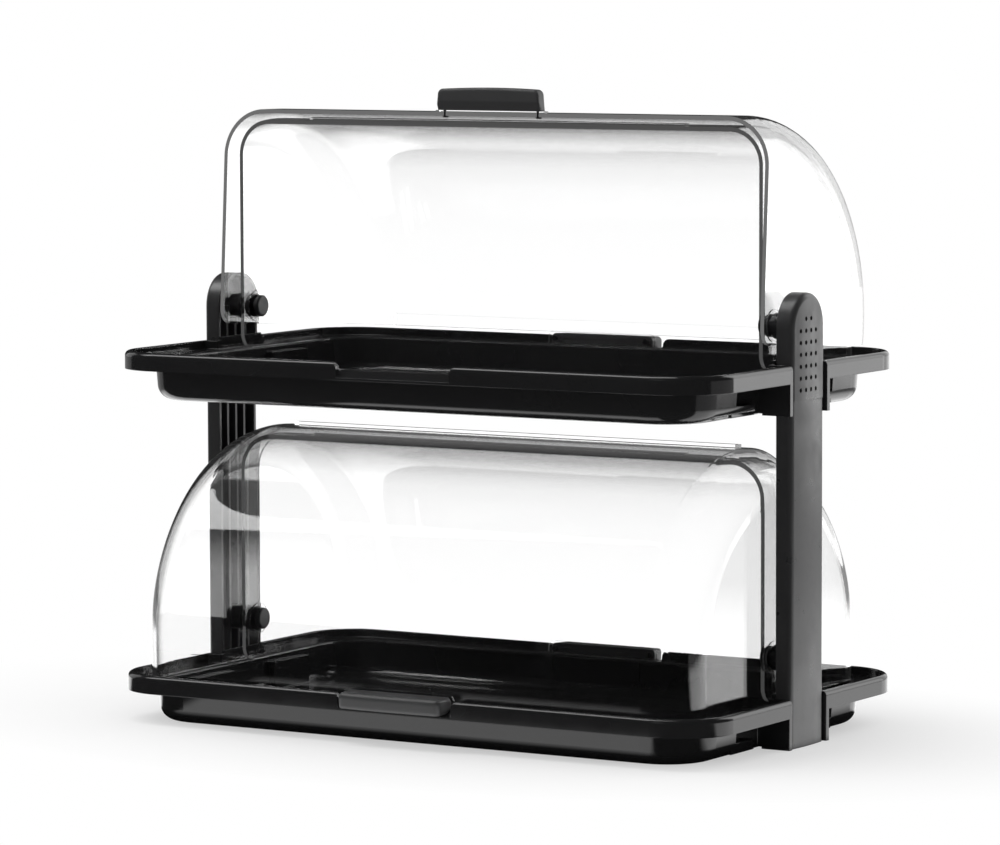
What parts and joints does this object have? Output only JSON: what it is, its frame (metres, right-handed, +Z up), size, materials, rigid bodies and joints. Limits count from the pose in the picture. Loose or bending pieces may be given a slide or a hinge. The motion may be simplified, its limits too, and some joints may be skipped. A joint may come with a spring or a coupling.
{
  "type": "countertop bread display bin",
  "caption": "Two-tier countertop bread display bin: black trays on side posts, each under a fixed clear rear cover and a clear front cover that rolls up over it.",
  "frame": {"origin": "on the counter under the middle of the lower tray", "axes": "+Z up, -Y towards the front handles, X along the pivots and the length of the trays"},
  "size_m": [0.42, 0.2732, 0.3884],
  "materials": {
    "tray_black": "glossy black moulded plastic",
    "post_black": "satin to glossy black moulded plastic",
    "cover_clear": "clear polished moulded plastic",
    "handle_black": "glossy black moulded plastic",
    "fitting_black": "black moulded plastic",
    "screw_steel": "plated steel",
    "pin_steel": "turned steel"
  },
  "bodies": {
    "frame": {"left_post": "post_black", "lower_left_knob": "fitting_black", "lower_left_pivot_pin": "pin_steel", "lower_left_spacer": "fitting_black", "lower_rear_cover": "cover_clear", "lower_rear_handle": "handle_black", "lower_rear_handle_screws": "screw_steel", "lower_right_knob": "fitting_black", "lower_right_pivot_pin": "pin_steel", "lower_right_spacer": "fitting_black", "lower_tray": "tray_black", "right_post": "post_black", "upper_left_knob": "fitting_black", "upper_left_pivot_pin": "pin_steel", "upper_left_spacer": "fitting_black", "upper_rear_cover": "cover_clear", "upper_rear_handle": "handle_black", "upper_rear_handle_screws": "screw_steel", "upper_right_knob": "fitting_black", "upper_right_pivot_pin": "pin_steel", "upper_right_spacer": "fitting_black", "upper_tray": "tray_black"},
    "lower_front_cover_body": {"lower_front_cover": "cover_clear", "lower_front_handle": "handle_black", "lower_front_handle_screws": "screw_steel"},
    "upper_front_cover_body": {"upper_front_cover": "cover_clear", "upper_front_handle": "handle_black", "upper_front_handle_screws": "screw_steel"}
  },
  "joints": [
    {"name": "lower_front_cover_hinge", "type": "hinge", "parent": "frame", "child": "lower_front_cover_body", "pos_m": [0, 0, 0.0512], "axis": [-1, 0, 0], "range_deg": [0, 93.5]},
    {"name": "upper_front_cover_hinge", "type": "hinge", "parent": "frame", "child": "upper_front_cover_body", "pos_m": [0, 0, 0.2492], "axis": [-1, 0, 0], "range_deg": [-93.5, 0]}
  ]
}
